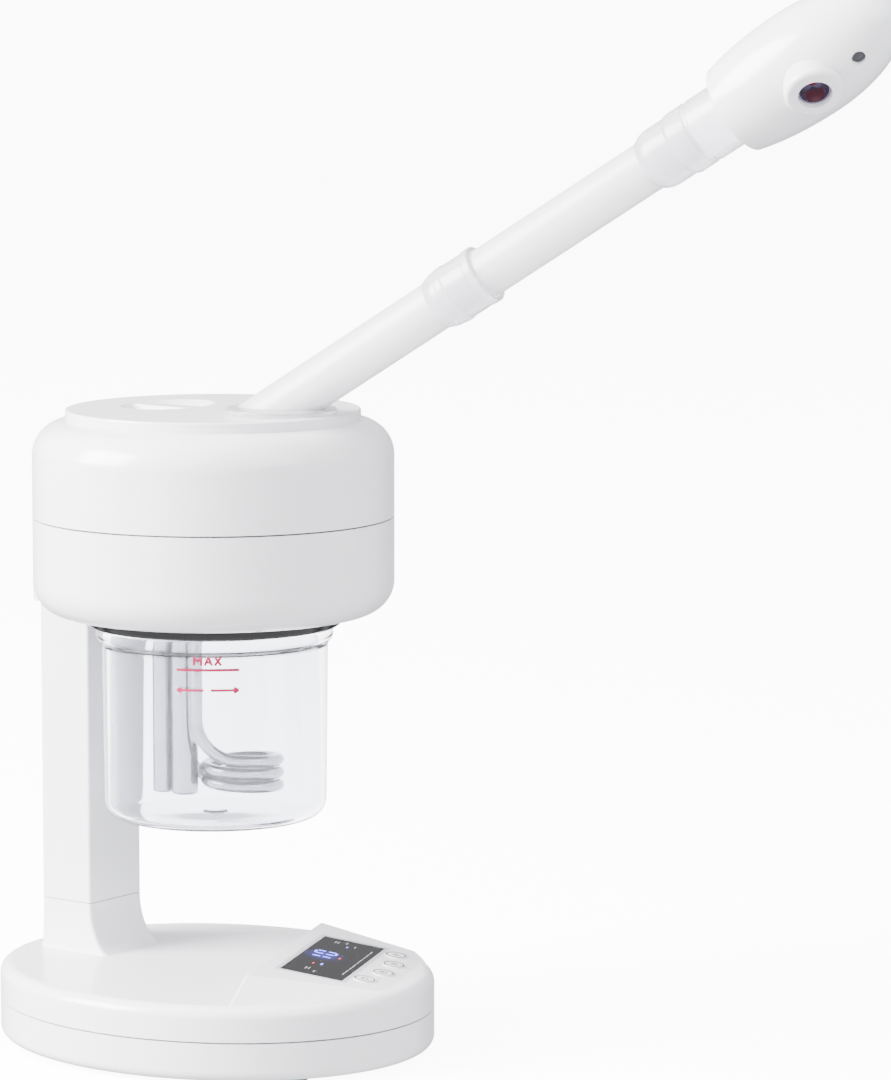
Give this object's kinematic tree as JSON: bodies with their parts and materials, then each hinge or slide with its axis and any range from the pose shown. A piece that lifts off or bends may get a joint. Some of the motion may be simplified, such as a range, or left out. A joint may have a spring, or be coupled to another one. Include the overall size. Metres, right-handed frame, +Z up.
{
  "type": "facial steamer",
  "caption": "Table-top facial steamer: oval base with control panel, square column, drum head, clear water jar with heating coil, and a clear swivelling arm with a turning nozzle.",
  "frame": {"origin": "centre of the oval base on the surface it stands on", "axes": "+Z up, the column stands on the +Y side, the front faces -Y"},
  "size_m": [0.202, 0.4887, 0.5462],
  "materials": {
    "white_abs": "gloss white moulded ABS",
    "grey_frame": "satin",
    "black_window": "gloss",
    "button_white": "satin",
    "clear_plastic": "clear polycarbonate",
    "frosted_plastic": "frosted plastic",
    "black_ring": "gloss black",
    "chrome": "polished",
    "steel": "zinc plated",
    "board_green": "solder mask",
    "black_plastic": "matt",
    "rubber": "matt",
    "silicone": "satin",
    "lamp_glass": "clear",
    "dark_red": "gloss",
    "grey_cable": "satin"
  },
  "bodies": {
    "stand": {"base_bottom_cover": "white_abs", "base_screws": "steel", "base_top_housing": "white_abs", "board_screws": "steel", "button_switches": "black_plastic", "cap_disc": "white_abs", "column_core": "steel", "column_rear_cover": "white_abs", "column_screws": "steel", "column_shell": "white_abs", "control_board": "board_green", "cord_gland": "rubber", "display_frame": "grey_frame", "display_module": "black_plastic", "display_window": "black_window", "flange_screws": "steel", "head_block": "white_abs", "head_lower_shell": "white_abs", "head_screws": "steel", "head_upper_shell": "white_abs", "heater_flange": "steel", "heating_element": "chrome", "jar_ring": "black_ring", "lamp_holder": "black_plastic", "level_probe": "chrome", "ozone_lamp": "lamp_glass", "power_board": "board_green", "probe_sheath": "chrome", "rubber_feet": "rubber", "steam_chamber": "silicone", "swivel_bush": "black_plastic", "swivel_seal": "silicone", "terminal_block": "black_plastic", "thermal_fuse": "steel", "thermostat": "steel", "wiring_harness": "grey_cable"},
    "jar_seal": {"jar_seal": "silicone"},
    "jar": {"jar": "clear_plastic"},
    "arm": {"arm_socket": "clear_plastic", "retaining_clip": "steel", "lower_tube": "frosted_plastic", "mid_collar": "clear_plastic"},
    "upper_arm": {"upper_tube": "frosted_plastic", "nozzle_adaptor": "clear_plastic"},
    "nozzle": {"nozzle_upper_shell": "white_abs", "nozzle_lower_shell": "white_abs", "outlet_ring": "white_abs", "outlet_liner": "chrome", "outlet_core": "dark_red"},
    "button_1": {"button_1": "button_white"},
    "button_2": {"button_2": "button_white"},
    "button_3": {"button_3": "button_white"},
    "button_4": {"button_4": "button_white"}
  },
  "joints": [
    {"name": "jar_drop", "type": "slide", "parent": "stand", "child": "jar_seal", "axis": [0, 0, -1], "range_m": [0, 0.01]},
    {"name": "jar_turn", "type": "hinge", "parent": "jar_seal", "child": "jar", "pos_m": [0, 0, 0.16], "axis": [0, 0, -1], "range_deg": [0, 180]},
    {"name": "arm_swivel", "type": "hinge", "parent": "stand", "child": "arm", "pos_m": [0, -0.044, 0.3313], "axis": [0, 0, 1], "range_deg": [-110, 110]},
    {"name": "upper_tube_twist", "type": "hinge", "parent": "arm", "child": "upper_arm", "pos_m": [0, -0.044, 0.3313], "axis": [0.1759, -0.8277, 0.5329], "range_deg": [-90, 90]},
    {"name": "nozzle_twist", "type": "hinge", "parent": "upper_arm", "child": "nozzle", "pos_m": [0, -0.044, 0.3313], "axis": [0.1759, -0.8277, 0.5329], "range_deg": [-120, 120]},
    {"name": "button_1_press", "type": "slide", "parent": "stand", "child": "button_1", "axis": [-0.0554, 0.137, -0.989], "range_m": [0, 0.0008], "stiffness_N_per_m": 400},
    {"name": "button_2_press", "type": "slide", "parent": "stand", "child": "button_2", "axis": [-0.0554, 0.137, -0.989], "range_m": [0, 0.0008], "stiffness_N_per_m": 400},
    {"name": "button_3_press", "type": "slide", "parent": "stand", "child": "button_3", "axis": [-0.0554, 0.137, -0.989], "range_m": [0, 0.0008], "stiffness_N_per_m": 400},
    {"name": "button_4_press", "type": "slide", "parent": "stand", "child": "button_4", "axis": [-0.0554, 0.137, -0.989], "range_m": [0, 0.0008], "stiffness_N_per_m": 400}
  ],
  "couplings": [
    {"joint": "jar_drop", "follows": "jar_turn", "m_per_rad": 0.003183}
  ]
}
